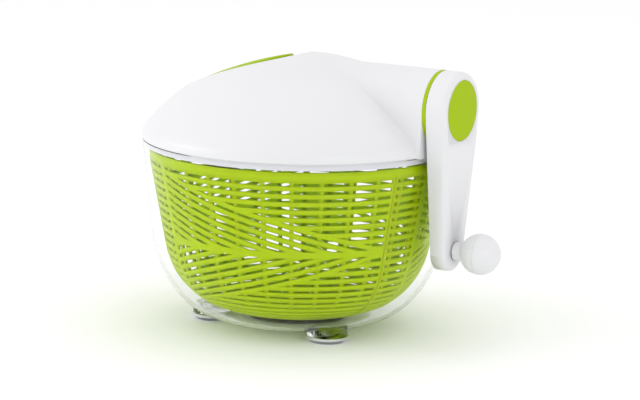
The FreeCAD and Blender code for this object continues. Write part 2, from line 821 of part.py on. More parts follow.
def make_crank_shaft():
    """Steel shaft with a square at each end, and a turned tip with a groove for the clip."""
    tip = pinion_pitch - 5.25
    groove = tip + 2.7
    square = groove + 1.2
    half = d.shaft_square / 2
    low = crank_height - half
    high = crank_height + half
    shaft = combine(
        "MultiFuse", "crank_shaft",
        rod("shaft_tip", tip, groove, d.shaft_radius * 0.7, crank_height),
        rod("shaft_groove", groove, square, d.shaft_radius * 0.56, crank_height),
        block("shaft_gear_square", (square, -half, low), (gear_hub_end, half, high)),
        rod("shaft_barrel", gear_hub_end, arm_face, d.shaft_radius, crank_height),
        block("shaft_arm_square", (arm_face, -half, low), (arm_face + 7.6, half, high)))
    shaft.Label = "crank_shaft"
    return shaft


def make_shaft_clip():
    """Open spring clip in the groove at the shaft's inner end."""
    start = pinion_pitch - 5.25 + 2.85
    clip = combine(
        "Cut", "shaft_clip",
        rod("clip_disc", start, start + 0.9, d.shaft_radius * 1.25, crank_height),
        rod("clip_bore", start - 1, start + 2, d.shaft_radius * 0.56, crank_height),
        block("clip_mouth", (start - 1, -1.6, crank_height), (start + 2, 1.6, crank_height + 20)))
    clip.Label = "shaft_clip"
    return clip


def make_crank_arm():
    """White tapering arm, its outer edge rounded and its outer face leaning in to the knob."""
    body = make_body("crank_arm", crank_height)
    outline = make_sketch(body, "outline", "YZ_Plane", arm_face)
    draw_arm_outline(outline)
    pad(body, outline, d.arm_thickness)

    rake = make_sketch(body, "rake", "XZ_Plane")
    rake_top = -d.arm_head_radius
    rake_foot = -d.crank_throw - d.arm_end_radius
    draw_outline(rake, [
        (arm_outer, rake_top), (arm_outer - d.arm_rake, rake_foot), (arm_outer - d.arm_rake, rake_foot - 5),
        (arm_outer + 5, rake_foot - 5), (arm_outer + 5, rake_top)])
    raked = pocket(body, rake, d.arm_head_radius * 4, both_ways=True)
    doc.recompute()

    rounded = body.newObject("PartDesign::Fillet", "arm_edge_rounding")
    rounded.Base = (raked, outer_edges(raked.Shape, arm_face.number + 8))
    bind(rounded, "Radius", d.arm_edge_round)

    recess = make_sketch(body, "recess", "YZ_Plane", arm_outer)
    draw_circle(recess, 0, 0, d.disc_radius + d.seat / 2)
    pocket(body, recess, d.disc_thickness + 0.2)
    head_recess = make_sketch(body, "head_recess", "YZ_Plane", arm_outer)
    draw_circle(head_recess, 0, 0, 6.5)
    pocket(body, head_recess, d.arm_thickness - 9.8)
    screw_way = make_sketch(body, "screw_way", "YZ_Plane", arm_outer)
    draw_circle(screw_way, 0, 0, 2.2)
    pocket(body, screw_way)
    socket = make_sketch(body, "socket", "YZ_Plane", arm_face)
    half = d.shaft_square / 2
    draw_box(socket, -half, half, -half, half)
    pocket(body, socket, 7.6, reversed_way=True)
    pin_hole = make_sketch(body, "pin_hole", "YZ_Plane", arm_face + 3)
    draw_circle(pin_hole, 0, -d.crank_throw, d.knob_pin_radius)
    body.Tip = pocket(body, pin_hole, d.arm_thickness, reversed_way=True)
    return body


def draw_arm_outline(sketch):
    """Draw two round ends joined by straight sides that touch both."""
    head = d.arm_head_radius
    end = d.arm_end_radius
    slope = math.asin((head.number - end.number) / d.crank_throw.number)
    foot = Vector(0, -d.crank_throw.number, 0)
    upright = Vector(0, 0, 1)
    right = Vector(math.cos(slope), -math.sin(slope), 0)
    left = Vector(-math.cos(slope), -math.sin(slope), 0)
    head_arc = sketch.addGeometry(
        Part.ArcOfCircle(Part.Circle(Vector(), upright, head.number), -slope, math.pi + slope), False)
    end_arc = sketch.addGeometry(
        Part.ArcOfCircle(Part.Circle(foot, upright, end.number), math.pi + slope, -slope), False)
    left_side = sketch.addGeometry(Part.LineSegment(left * head.number, foot + left * end.number), False)
    right_side = sketch.addGeometry(Part.LineSegment(foot + right * end.number, right * head.number), False)
    chain = [(head_arc, 2, left_side, 1), (left_side, 2, end_arc, 1),
             (end_arc, 2, right_side, 1), (right_side, 2, head_arc, 1)]
    for link in chain:
        sketch.addConstraint(Sketcher.Constraint("Tangent", *link))
    pin_point(sketch, head_arc, 3, 0, 0)
    pin_point(sketch, end_arc, 3, 0, -d.crank_throw)
    for arc, radius in ((head_arc, head), (end_arc, end)):
        bound = sketch.addConstraint(Sketcher.Constraint("Radius", arc, radius.number))
        sketch.setExpression(f"Constraints[{bound}]", radius.formula)


def outer_edges(shape, beyond):
    """Name the edges of the outer face, all of which lie further out than the given X."""
    names = []
    for index, edge in enumerate(shape.Edges, start=1):
        flat_run = edge.BoundBox.XMin > beyond and edge.BoundBox.YLength > 1 and edge.BoundBox.ZLength > 1
        if flat_run:
            names.append(f"Edge{index}")
    return names


def make_crank_disc():
    """Green disc that closes the arm's head over the screw."""
    return turned_piece("crank_disc", [
        (arm_outer - d.disc_thickness, 0), (arm_outer - d.disc_thickness, d.disc_radius),
        (arm_outer, d.disc_radius, 0.5), (arm_outer, 0)], "H_Axis", crank_height)


def make_crank_screw():
    """Screw that draws the arm onto the shaft's square."""
    seat_face = arm_face + 9.8
    return turned_piece("crank_screw", [
        (arm_face + 7.6, 0), (arm_face + 7.6, 2.2), (seat_face, 2.2), (seat_face, 5.6),
        (seat_face + 2.6, 5.6), (seat_face + 2.6, 0)], "H_Axis", crank_height)


def make_knob():
    """White ball knob in two halves that turns on a headed pin fixed in the arm."""
    pin_start = arm_face + 3
    lean = (d.crank_throw - d.neck_radius - d.arm_head_radius) / (
        d.crank_throw + d.arm_end_radius - d.arm_head_radius)
    root = arm_outer - d.arm_rake * lean + d.arm_gap
    split = knob_centre + 0.3
    head_end = knob_centre - 3
    bore = d.knob_pin_radius + d.running
    pin = turned_piece("knob_pin", [
        (pin_start, 0), (pin_start, d.knob_pin_radius), (head_end - 3, d.knob_pin_radius),
        (head_end - 3, d.knob_pin_radius + 2), (head_end, d.knob_pin_radius + 2), (head_end, 0)],
        "H_Axis", knob_height)
    cone = math.radians(55)
    shoulder = knob_centre - d.knob_radius * math.tan(cone / 2)
    throat = knob_centre - (d.knob_radius - d.neck_radius * math.cos(cone)) / math.sin(cone)
    knob = turned_piece("knob", [
        (root, bore), (root, d.neck_radius), (throat, d.neck_radius, 4),
        (shoulder, d.knob_radius, d.knob_radius), (split, d.knob_radius),
        (split, d.knob_pin_radius + 2.3), (head_end - 3.3, d.knob_pin_radius + 2.3),
        (head_end - 3.3, bore)], "H_Axis", knob_height)
    ball = primitive("Sphere", "cap_ball", (knob_centre, 0, knob_height), Radius=d.knob_radius)
    reach = d.knob_radius + 1
    outer_half = block("cap_half", (split, -reach, knob_height - reach),
                       (split + reach, reach, knob_height + reach))
    cap = combine("MultiCommon", "knob_cap", ball, outer_half)
    cap.Label = "knob_cap"
    return [pin, knob, cap]


# ---------------------------------------------------------------- bevel gears

PRESSURE_ANGLE = math.radians(25)
BACKLASH = 0.30
ADDENDUM_SHARE = 0.85
DEDENDUM_SHARE = 1.15


def polar_direction(cone_angle, turn_angle):
    """Unit vector at a cone angle from +Z and a turn angle about it."""
    return Vector(math.sin(cone_angle) * math.cos(turn_angle),
                  math.sin(cone_angle) * math.sin(turn_angle),
                  math.cos(cone_angle))


def involute_turn(cone_angle, base_angle):
    """Turn angle of a spherical involute where it crosses a cone angle."""
    if cone_angle <= base_angle:
        return 0.0
    rolled = math.acos(math.cos(cone_angle) / math.cos(base_angle)) / math.sin(base_angle)
    return rolled - math.acos(math.tan(base_angle) / math.tan(cone_angle))


def tooth_solid(teeth, pitch_angle, cone_length, tooth_length, tooth_module):
    """One straight bevel tooth about +Z, its point at the origin, centred on turn angle 0."""
    base_angle = math.asin(math.cos(PRESSURE_ANGLE) * math.sin(pitch_angle))
    tip = pitch_angle + math.atan(ADDENDUM_SHARE * tooth_module / cone_length)
    root = pitch_angle - math.atan(DEDENDUM_SHARE * tooth_module / cone_length)
    slack = BACKLASH / 2 / (cone_length * math.sin(pitch_angle))
    half_tooth = math.pi / 2 / teeth - slack / 2 + involute_turn(pitch_angle, base_angle)
    steps = 6
    flank = []
    for step in range(steps + 1):
        cone_angle = root + (tip - root) * step / steps
        flank.append((cone_angle, half_tooth - involute_turn(cone_angle, base_angle)))
    buried = root - 0.35 / cone_length
    outline = [(buried, flank[0][1])] + flank
    outline += [(cone_angle, -turn_angle) for cone_angle, turn_angle in reversed(outline)]
    axis = polar_direction(pitch_angle, 0)
    ends = []
    for reach in (cone_length, cone_length - tooth_length):
        points = []
        for cone_angle, turn_angle in outline:
            direction = polar_direction(cone_angle, turn_angle)
            points.append(direction * (reach / direction.dot(axis)))
        ends.append(Part.makePolygon(points + [points[0]]))
    return Part.makeLoft(ends, True, True)


def bevel_gear(teeth, mate_teeth, tooth_module, tooth_length, hub, first_turn):
    """A bevel gear about +Z with its cone's point at the origin; hub is its body behind the teeth."""
    pitch_angle = math.atan(teeth / mate_teeth)
    cone_length = tooth_module * teeth / 2 / math.sin(pitch_angle)
    root_drop = math.atan(DEDENDUM_SHARE * tooth_module / cone_length)
    root = pitch_angle - root_drop
    corners = []
    for reach in (cone_length - tooth_length, cone_length):
        length = reach / math.cos(root_drop)
        corners.append(Vector(length * math.sin(root), 0, length * math.cos(root)))
    section = [Vector(0, 0, corners[0].z)] + corners
    section += [Vector(radius, 0, height) for radius, height in hub(corners[1].x, corners[1].z)]
    blank = Part.Face(Part.makePolygon(section + [section[0]])).revolve(Vector(), Vector(0, 0, 1), 360)
    tooth = tooth_solid(teeth, pitch_angle, cone_length, tooth_length, tooth_module)
    tooth.rotate(Vector(), Vector(0, 0, 1), first_turn)
    copies = []
    for index in range(teeth):
        copy = tooth.copy()
        copy.rotate(Vector(), Vector(0, 0, 1), 360 * index / teeth)
        copies.append(copy)
    return blank.multiFuse(copies).removeSplitter()


def make_gears():
    """The crank's large bevel gear and the spindle's pinion, in mesh under the crank's shaft."""
    teeth = DRIVING_SIZES["gear_teeth"]
    pinion_count = DRIVING_SIZES["pinion_teeth"]
    tooth_module = DRIVING_SIZES["tooth_module"]
    length = DRIVING_SIZES["tooth_length"]
    hub_end = gear_hub_end.number
    hub_radius = d.shaft_radius.number + 4.5

    def gear_hub(rim_radius, rim_height):
        web = rim_height + 3.5
        return [(rim_radius, web), (hub_radius, web), (hub_radius, hub_end), (0, hub_end)]

    def pinion_hub(rim_radius, rim_height):
        end = crank_height.number - washer_top().number
        return [(rim_radius, end), (0, end)]

    wheel = bevel_gear(teeth, pinion_count, tooth_module, length, gear_hub, 180 / teeth)
    square = d.shaft_square.number
    bore = Part.makeBox(square, square, 60, Vector(-square / 2, -square / 2, -10))
    gear = doc.addObject("Part::Feature", "drive_gear")
    gear.Shape = wheel.cut(bore)
    gear.Placement = Placement(Vector(0, 0, crank_height.number), ALONG_X)

    small = bevel_gear(pinion_count, teeth, tooth_module, length, pinion_hub, 0)
    pinion = doc.addObject("Part::Feature", "pinion")
    pinion.Shape = small.cut(Part.makeCylinder(d.spindle_radius.number - 1, 60))
    pinion.Placement = Placement(Vector(0, 0, crank_height.number), Rotation(Vector(1, 0, 0), 180))
    return [gear, pinion]


# ---------------------------------------------------------------- spindle and drive plate


def washer_top():
    return base_top + 3.1


def make_spindle():
    """Upright steel spindle, stepped down where the pinion is pressed on."""
    top = crank_height - gear_pitch + d.tooth_length
    return turned_piece("spindle", [
        (0, plate_bottom - 1), (d.spindle_radius, plate_bottom - 1), (d.spindle_radius, washer_top()),
        (d.spindle_radius - 1, washer_top()), (d.spindle_radius - 1, top), (0, top)])


def make_washer():
    """Thrust washer between the pinion and the spindle's boss."""
    return turned_piece("thrust_washer", [
        (d.spindle_radius, washer_top() - 0.5), (d.spindle_radius + 4, washer_top() - 0.5),
        (d.spindle_radius + 4, washer_top()), (d.spindle_radius, washer_top())])


def make_drive_plate():
    """Turning plate over the basket's mouth, with four dogs that sit between the basket's lugs."""
    body = make_body("drive_plate")
    hub = d.spindle_radius + 5
    sketch = make_sketch(body, "outline", "XZ_Plane")
    draw_outline(sketch, [
        (0, plate_bottom - 4), (hub, plate_bottom - 4), (hub, plate_bottom),
        (basket_radius - d.plate_inset, plate_bottom), (basket_radius - d.plate_inset, plate_top),
        (0, plate_top)])
    turn(body, sketch)
    bore = make_sketch(body, "bore", "XZ_Plane")
    draw_box(bore, 0, d.spindle_radius, plate_bottom - 1, plate_top + 1)
    turn(body, bore, cut=True)
    screw_way = make_sketch(body, "screw_way", "XZ_Plane")
    draw_box(screw_way, 0, 1.8, plate_bottom - 5, plate_top + 1)
    turn(body, screw_way, cut=True)
    dogs = make_sketch(body, "dogs", "XY_Plane", basket_top - d.dog_length)
    outer = basket_radius - d.lug_reach + 3
    draw_box(dogs, outer - d.dog_depth, outer, -d.dog_width / 2, d.dog_width / 2)
    repeat(body, pad(body, dogs, d.dog_length + d.plate_gap), 4)
    vents = make_sketch(body, "vents", "XY_Plane")
    draw_box(vents, 40.0, basket_radius - 30, -5.0, 5.0)
    repeat(body, pocket(body, vents, reversed_way=True), 12)
    return body


def make_spindle_screw():
    """Screw that holds the drive plate up against the spindle's end."""
    seat_face = plate_bottom - 4
    return turned_piece("spindle_screw", [
        (0, seat_face - 2.4), (5, seat_face - 2.4), (5, seat_face), (1.8, seat_face),
        (1.8, plate_bottom - 1), (0, plate_bottom - 1)])


# ---------------------------------------------------------------- assemble, check and write

pieces = [make_bowl(), *make_feet(), make_pivot_pin(), make_bearing_cup(), make_basket()]
pieces += [make_lid_shell(), make_palm_pad(), make_lid_base(), make_lid_screws()]
pieces += [make_bracket(), make_bracket_screws(), *make_bushes(), make_bearing_ring()]
pieces += [make_crank_shaft(), make_shaft_clip(), make_crank_arm(), make_crank_disc(), make_crank_screw()]
pieces += [*make_knob(), *make_gears()]
pieces += [make_spindle(), make_washer(), make_drive_plate(), make_spindle_screw()]
for piece in pieces:
    if piece.Label != "palm_pad":
        piece.setExpression("Placement.Base.x", axis_shift.formula)
doc.recompute()

for item in doc.Objects:
    if "Invalid" in item.State or "Error" in item.State:
        raise RuntimeError(f"{item.Name} did not build: {item.State}")
for piece in pieces:
    if piece.Shape.isNull() or not piece.Shape.isValid() or not piece.Shape.Solids:
        raise RuntimeError(f"{piece.Label} has no sound solid")
for piece in pieces:
    piece.Shape.exportStep(f"parts/{piece.Label}.step")
    box = piece.Shape.BoundBox
    print(f"{piece.Label:16s} solids {len(piece.Shape.Solids)} volume {piece.Shape.Volume:10.1f}"
          f" z {box.ZMin:7.2f} {box.ZMax:7.2f} x {box.XMin:7.2f} {box.XMax:7.2f}")
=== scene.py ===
import json
import math

import bmesh
import bpy
from mathutils import Matrix, Vector


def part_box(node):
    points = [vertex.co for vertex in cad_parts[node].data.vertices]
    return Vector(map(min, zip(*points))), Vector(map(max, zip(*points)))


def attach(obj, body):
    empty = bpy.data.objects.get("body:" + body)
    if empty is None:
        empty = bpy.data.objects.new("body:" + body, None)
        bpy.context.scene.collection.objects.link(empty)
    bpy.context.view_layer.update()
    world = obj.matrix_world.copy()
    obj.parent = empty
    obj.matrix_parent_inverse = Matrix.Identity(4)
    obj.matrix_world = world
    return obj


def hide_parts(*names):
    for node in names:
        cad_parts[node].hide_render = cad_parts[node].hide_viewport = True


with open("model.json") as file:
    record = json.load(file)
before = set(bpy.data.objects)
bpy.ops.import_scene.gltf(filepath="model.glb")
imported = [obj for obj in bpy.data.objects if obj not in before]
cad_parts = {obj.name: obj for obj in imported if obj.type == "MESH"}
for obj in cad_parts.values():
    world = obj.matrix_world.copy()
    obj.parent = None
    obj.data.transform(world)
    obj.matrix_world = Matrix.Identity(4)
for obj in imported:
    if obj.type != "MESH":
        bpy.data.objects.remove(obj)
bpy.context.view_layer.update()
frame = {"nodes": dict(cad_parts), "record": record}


# ---- Clear bowl -------------------------------------------------------------------------------
# One injection moulding in clear SAN plastic, polished inside and out so that the basket shows
# through it, with a boss in the floor for the pivot pin and three round bosses for the feet.

MM = 0.001
NODE_BODY = {node: body for body, nodes in frame["record"]["behaviour"]["bodies"].items() for node in nodes}
bowl_low, bowl_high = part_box("bowl")
AXIS = Vector((bowl_low[0] + bowl_high[0], bowl_low[1] + bowl_high[1], 0)) / 2


def linear(code):
    """Turn an sRGB hex colour into the linear values that a shader takes."""
    shares = [int(code[place:place + 2], 16) / 255 for place in (1, 3, 5)]
    return [share / 12.92 if share <= 0.04045 else ((share + 0.055) / 1.055) ** 2.4 for share in shares] + [1]


def add(tree, kind, settings=(), links=()):
    """Add a node, set its sockets and properties, and feed its inputs from other nodes' outputs."""
    made = tree.nodes.new(kind)
    for name, value in dict(settings).items():
        if name in made.inputs:
            made.inputs[name].default_value = value
        else:
            setattr(made, name, value)
    for name, source in dict(links).items():
        tree.links.new(source, made.inputs[name])
    return made


def finish(name, colour, roughness, grain_mm, grain_depth_mm, **settings):
    """A surface with a moulded or turned grain of a real size, seen as a faint bump and a faint change of gloss."""
    made = bpy.data.materials.new(name)
    made.use_nodes = True
    tree = made.node_tree
    shader = tree.nodes["Principled BSDF"]
    shader.inputs["Base Color"].default_value = linear(colour)
    for socket, value in settings.items():
        shader.inputs[socket.replace("_", " ")].default_value = value
    place = add(tree, "ShaderNodeTexCoord")
    grain = add(tree, "ShaderNodeTexNoise", {"Scale": 1 / (grain_mm * MM), "Detail": 3.0},
                {"Vector": place.outputs["Object"]})
    gloss = add(tree, "ShaderNodeMapRange", {"To Min": roughness * 0.85, "To Max": roughness * 1.2},
                {"Value": grain.outputs["Fac"]})
    bump = add(tree, "ShaderNodeBump", {"Strength": 0.5, "Distance": grain_depth_mm * MM},
               {"Height": grain.outputs["Fac"]})
    tree.links.new(gloss.outputs["Result"], shader.inputs["Roughness"])
    tree.links.new(bump.outputs["Normal"], shader.inputs["Normal"])
    return made


def piece(name, bm, body, slot_name, material, *replaced, sharp=35):
    """Turn a finished bmesh into a piece that rides on a body and stands for the named CAD nodes."""
    mesh = bpy.data.meshes.new(name)
    bm.to_mesh(mesh)
    bm.free()
    mesh.shade_smooth()
    mesh.set_sharp_from_angle(angle=math.radians(sharp))
    mesh.materials.append(material)
    made = bpy.data.objects.new(name, mesh)
    bpy.context.collection.objects.link(made)
    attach(made, body)
    if replaced:
        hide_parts(*replaced)
    return made


def skin(node, slot_name, material, sharp=25):
    """A copy of a CAD node with its loose triangles merged, so that it takes smooth shading."""
    bm = bmesh.new()
    bm.from_mesh(frame["nodes"][node].data)
    bmesh.ops.remove_doubles(bm, verts=bm.verts, dist=1e-6)
    return piece(f"{node}_skin", bm, NODE_BODY[node], slot_name, material, node, sharp=sharp)


def pass_lamps(material):
    """Let the light of lamps and of the room through a clear wall unbent, as a thin clear moulding does."""
    tree = material.node_tree
    path = add(tree, "ShaderNodeLightPath")
    through = add(tree, "ShaderNodeBsdfTransparent", {"Color": (0.97, 0.97, 0.98, 1)})
    lighting = add(tree, "ShaderNodeMath", {"operation": "MAXIMUM"})
    tree.links.new(path.outputs["Is Shadow Ray"], lighting.inputs[0])
    tree.links.new(path.outputs["Is Diffuse Ray"], lighting.inputs[1])
    mixed = add(tree, "ShaderNodeMixShader", {}, {"Fac": lighting.outputs["Value"]})
    tree.links.new(tree.nodes["Principled BSDF"].outputs["BSDF"], mixed.inputs[1])
    tree.links.new(through.outputs["BSDF"], mixed.inputs[2])
    tree.links.new(mixed.outputs["Shader"], tree.nodes["Material Output"].inputs["Surface"])


# Clear SAN, polished, with the faint lavender cast of an unpigmented moulding. Real SAN bends
# light by 1.57; less is used here, which keeps the thin wall's edges faint.
clear_plastic = finish("clear SAN plastic, polished moulding", "#FDFDFF", 0.015, 30, 0.01,
                       IOR=1.18, Transmission_Weight=1.0, Specular_IOR_Level=0.4)
pass_lamps(clear_plastic)
skin("bowl", "clear_plastic", clear_plastic)


# ---- Feet -------------------------------------------------------------------------------------
# Three shallow plated cups pressed over the bowl's bosses, each with a grey rubber disc glued in
# its underside to stop the bowl from sliding.

bright_plate = finish("chrome plate on ABS, polished", "#E6E8EA", 0.24, 6, 0.02, Metallic=1.0)
grey_rubber = finish("moulded rubber, matt", "#8E8F90", 0.7, 0.8, 0.05)
cups = skin("foot_cups", "chrome", bright_plate)

# The cups touch the clear bosses face to face, and light that leaves a boss there would be trapped
# in the cup's wall. The cups' lining therefore stands back by a hair.
FOOT_CIRCLE = 69.0
FOOT_ANGLE = 81.5
CUP_BORE = 16.1
LINING_GAP = 0.1
boss_bottom = bowl_low[2]
foot_centres = []
for index in range(3):
    around = Matrix.Rotation(math.radians(FOOT_ANGLE + 120 * index), 3, "Z")
    foot_centres.append(AXIS + around @ Vector((FOOT_CIRCLE, 0, 0)) * MM)
for vert in cups.data.vertices:
    outwards = min((vert.co.xy - centre.xy for centre in foot_centres), key=lambda reach: reach.length)
    if vert.co.z > boss_bottom - 0.01 * MM and outwards.length < (CUP_BORE + 0.05) * MM:
        if outwards.length > 1 * MM:
            vert.co.xy += outwards.normalized() * LINING_GAP * MM
        if vert.co.z < boss_bottom + 0.01 * MM:
            vert.co.z -= LINING_GAP * MM
skin("foot_pads", "rubber", grey_rubber)


# ---- Pivot ------------------------------------------------------------------------------------
# A turned steel pin pressed into the bowl's floor, and the acetal cup that runs on it.

turned_steel = finish("turned stainless steel", "#B9BABC", 0.28, 0.4, 0.01, Metallic=1.0)
acetal = finish("natural acetal, machined", "#EDEAE2", 0.4, 0.6, 0.01)
skin("pivot_pin", "steel", turned_steel)
skin("bearing_cup", "acetal", acetal)


# ---- Basket -----------------------------------------------------------------------------------
# One moulding in lime green polypropylene: a plain rim band over long curving slats, which cross
# a cage of upright ribs inside. The slats repeat in three equal panels round the basket, and in
# each panel two fans of slats close in on a point at the panel's right edge.

green_plastic = finish("lime polypropylene, satin moulding", "#B0D000", 0.5, 0.9, 0.02, Specular_IOR_Level=0.12,
                       Subsurface_Weight=0.55, Subsurface_Radius=(0.007, 0.009, 0.0006),
                       Subsurface_Scale=1.0)

basket_low, basket_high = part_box("basket")
RIM_RADIUS = (basket_high[0] - basket_low[0]) / 2 / MM
RIM_HEIGHT = basket_high[2] / MM
FLOOR_HEIGHT = basket_low[2] / MM
PANELS = 3
PANEL = 360 / PANELS
FIRST_PANEL = -140.7


def rounded(corners, step=3):
    """Points along a run of straight stretches whose corners are (radius, height, rounding)."""
    path = [Vector(corners[0][:2])]
    for before, corner, after in zip(corners, corners[1:], corners[2:]):
        middle = Vector(corner[:2])
        back = (Vector(before[:2]) - middle).normalized()
        ahead = (Vector(after[:2]) - middle).normalized()
        half = back.angle(ahead) / 2
        centre = middle + (back + ahead).normalized() * corner[2] / math.sin(half)
        start = middle + back * corner[2] / math.tan(half) - centre
        sweep = start.angle_signed(middle + ahead * corner[2] / math.tan(half) - centre)
        count = max(2, round(abs(math.degrees(sweep)) / step))
        for index in range(count + 1):
            path.append(centre + Matrix.Rotation(-sweep * index / count, 2) @ start)
    path.append(Vector(corners[-1][:2]))
    return path


wall_path = rounded([(RIM_RADIUS, RIM_HEIGHT), (RIM_RADIUS - 16.8, 58.0, 52), (RIM_RADIUS - 35, FLOOR_HEIGHT, 60),
                     (0, FLOOR_HEIGHT)])
wall_marks = [0.0]
for start, end in zip(wall_path, wall_path[1:]):
    wall_marks.append(wall_marks[-1] + (end - start).length)
DEPTH = wall_marks[-1]


def wall_at(along, inwards=0):
    """Radius and height on the basket's outside, measured down the wall from its rim."""
    along = min(max(along, 0), DEPTH)
    index = max(i for i, mark in enumerate(wall_marks[:-1]) if mark <= along)
    start, end = wall_path[index], wall_path[index + 1]
    down = (end - start).normalized()
    point = start + down * (along - wall_marks[index])
    return point + Vector((down.y, -down.x)) * inwards


def wrap(bm, start=0):
    """Wrap a flat sheet of (degrees round, millimetres down) on to the basket's wall."""
    for vert in bm.verts:
        radius, height = wall_at(vert.co.y)
        angle = math.radians(FIRST_PANEL + start + vert.co.x)
        vert.co = AXIS + Vector((radius * math.cos(angle), radius * math.sin(angle), height)) * MM
    bmesh.ops.remove_doubles(bm, verts=bm.verts, dist=2e-6)


BAND = 8.5
ROW = 6.5
ROW_GAP = 2.9
LAST_ROW = 150.0
LADDER_EDGES = (1.2, 16.8)
FAN_EDGE = 19.6
FAN_MIDDLE = 68.5
FAN_SLOPE = 0.56
FAN_GAP = 2.6
SEAM = 1.9
DRAINS = (164.0, 186.0)
SLAT_THICKNESS = 1.8


def fan_reach(place):
    """How far the fans stand above and below their middle line at a place across the panel."""
    return FAN_SLOPE * (PANEL - place.x)


def in_fans(place):
    return place.x > FAN_EDGE and abs(place.y - FAN_MIDDLE) < fan_reach(place)


def in_rows(place):
    return not in_fans(place) and BAND - ROW < place.y < LAST_ROW + ROW


def is_slot(place):
    """Whether a face of the panel, known by its middle, is an opening."""
    if DRAINS[0] < place.y < DRAINS[1]:
        return 5 < place.x % 15 < 10
    if not BAND < place.y < LAST_ROW:
        return False
    inside = fan_reach(place) - abs(place.y - FAN_MIDDLE)
    if place.x > FAN_EDGE and inside > 0:
        clear_of_middle = abs(place.y - FAN_MIDDLE) > SEAM + 0.6
        return clear_of_middle and inside > SEAM and (inside - SEAM) % ROW < FAN_GAP
    in_ladder = LADDER_EDGES[0] < place.x < LADDER_EDGES[1]
    beside_fans = FAN_EDGE < place.x < PANEL - LADDER_EDGES[0] and inside < -SEAM
    return (in_ladder or beside_fans) and (place.y - BAND) % ROW < ROW_GAP


def score(bm, point, across, wanted):
    """Cut the wanted faces along a line through a point, square to the given direction."""
    faces = [face for face in bm.faces if wanted(face.calc_center_median())]
    edges = {edge for face in faces for edge in face.edges}
    verts = {vert for face in faces for vert in face.verts}
    bmesh.ops.bisect_plane(bm, geom=[*faces, *edges, *verts], plane_co=Vector((*point, 0)),
                           plane_no=Vector((*across, 0)), dist=1e-5)


def thicken(made, amount, inwards=True):
    """Give a sheet a wall, inwards from it or outwards."""
    wall = made.modifiers.new("wall", "SOLIDIFY")
    wall.thickness = amount * MM
    wall.offset = -1 if inwards else 1


slats = bmesh.new()
bmesh.ops.create_grid(slats, x_segments=48, y_segments=24, size=0.5)
bmesh.ops.scale(slats, vec=(PANEL, DEPTH, 1), verts=slats.verts)
bmesh.ops.translate(slats, vec=(PANEL / 2, DEPTH / 2, 0), verts=slats.verts)
for place in (*LADDER_EDGES, FAN_EDGE, PANEL - LADDER_EDGES[0]):
    score(slats, (place, 0), (1, 0), lambda middle: True)
for side in (-1, 1):
    score(slats, (PANEL, FAN_MIDDLE), (FAN_SLOPE, side), lambda middle: middle.x > FAN_EDGE)
    score(slats, (PANEL, FAN_MIDDLE + side * SEAM), (FAN_SLOPE, side), lambda middle: middle.x > FAN_EDGE)
    score(slats, (0, FAN_MIDDLE + side * (SEAM + 0.6)), (0, 1), in_fans)
    for index in range(int(fan_reach(Vector((FAN_EDGE, 0))) / ROW) + 1):
        for edge in (SEAM + index * ROW, SEAM + index * ROW + FAN_GAP):
            score(slats, (PANEL, FAN_MIDDLE - side * edge), (FAN_SLOPE, side),
                  lambda middle: in_fans(middle) and (middle.y - FAN_MIDDLE) * side > 0)
for index in range(int((LAST_ROW - BAND) / ROW) + 1):
    for edge in (BAND + index * ROW, BAND + index * ROW + ROW_GAP):
        score(slats, (0, edge), (0, 1), in_rows)
for edge in DRAINS:
    score(slats, (0, edge), (0, 1), lambda middle: middle.y > LAST_ROW)
for index in range(int(PANEL / 15)):
    for edge in (5, 10):
        score(slats, (index * 15 + edge, 0), (1, 0), lambda middle: DRAINS[0] < middle.y < DRAINS[1])
openings = [face for face in slats.faces if is_slot(face.calc_center_median())]
bmesh.ops.delete(slats, geom=openings, context="FACES")
one_panel = slats.verts[:] + slats.edges[:] + slats.faces[:]
for index in range(1, PANELS):
    copied = bmesh.ops.duplicate(slats, geom=one_panel)["geom"]
    moved = [item for item in copied if isinstance(item, bmesh.types.BMVert)]
    bmesh.ops.translate(slats, vec=(PANEL * index, 0, 0), verts=moved)
wrap(slats)
bmesh.ops.recalc_face_normals(slats, faces=slats.faces)
basket_slats = piece("basket_slats", slats, "basket_body", "green_plastic", green_plastic, "basket")
thicken(basket_slats, SLAT_THICKNESS)

RIBS = 32
RIB_WIDTH = 3.4
RIB_DEPTH = 1.9
BEAD_WIDTH = 1.5


def upright_strips(count, width, first, last, inwards, start=0.0):
    """Flat strips that run down the wall, evenly spaced round the basket."""
    bm = bmesh.new()
    rows = 36
    line = []
    for index in range(rows + 1):
        radius, height = wall_at(first + (last - first) * index / rows, inwards)
        line.append(bm.verts.new(Vector((radius, -width / 2, height)) * MM))
    edges = [bm.edges.new(pair) for pair in zip(line, line[1:])]
    made = bmesh.ops.extrude_edge_only(bm, edges=edges)["geom"]
    moved = [item for item in made if isinstance(item, bmesh.types.BMVert)]
    bmesh.ops.translate(bm, vec=(0, width * MM, 0), verts=moved)
    bmesh.ops.recalc_face_normals(bm, faces=bm.faces)
    if sum(face.normal.x for face in bm.faces) < 0:
        bmesh.ops.reverse_faces(bm, faces=bm.faces)
    bmesh.ops.rotate(bm, verts=bm.verts, cent=(0, 0, 0),
                     matrix=Matrix.Rotation(math.radians(FIRST_PANEL + start), 3, "Z"))
    bmesh.ops.spin(bm, geom=bm.verts[:] + bm.edges[:] + bm.faces[:], cent=(0, 0, 0), axis=(0, 0, 1),
                   angle=math.tau * (count - 1) / count, steps=count - 1, use_duplicate=True)
    bmesh.ops.translate(bm, vec=AXIS, verts=bm.verts)
    return bm


ribs = piece("basket_ribs", upright_strips(RIBS, RIB_WIDTH, 2, 165, 0.9), "basket_body", "green_plastic",
             green_plastic)
thicken(ribs, RIB_DEPTH)
beads = piece("basket_beads", upright_strips(PANELS, BEAD_WIDTH, BAND - 2, 160, 0.2), "basket_body",
              "green_plastic", green_plastic)
thicken(beads, 0.9, inwards=False)


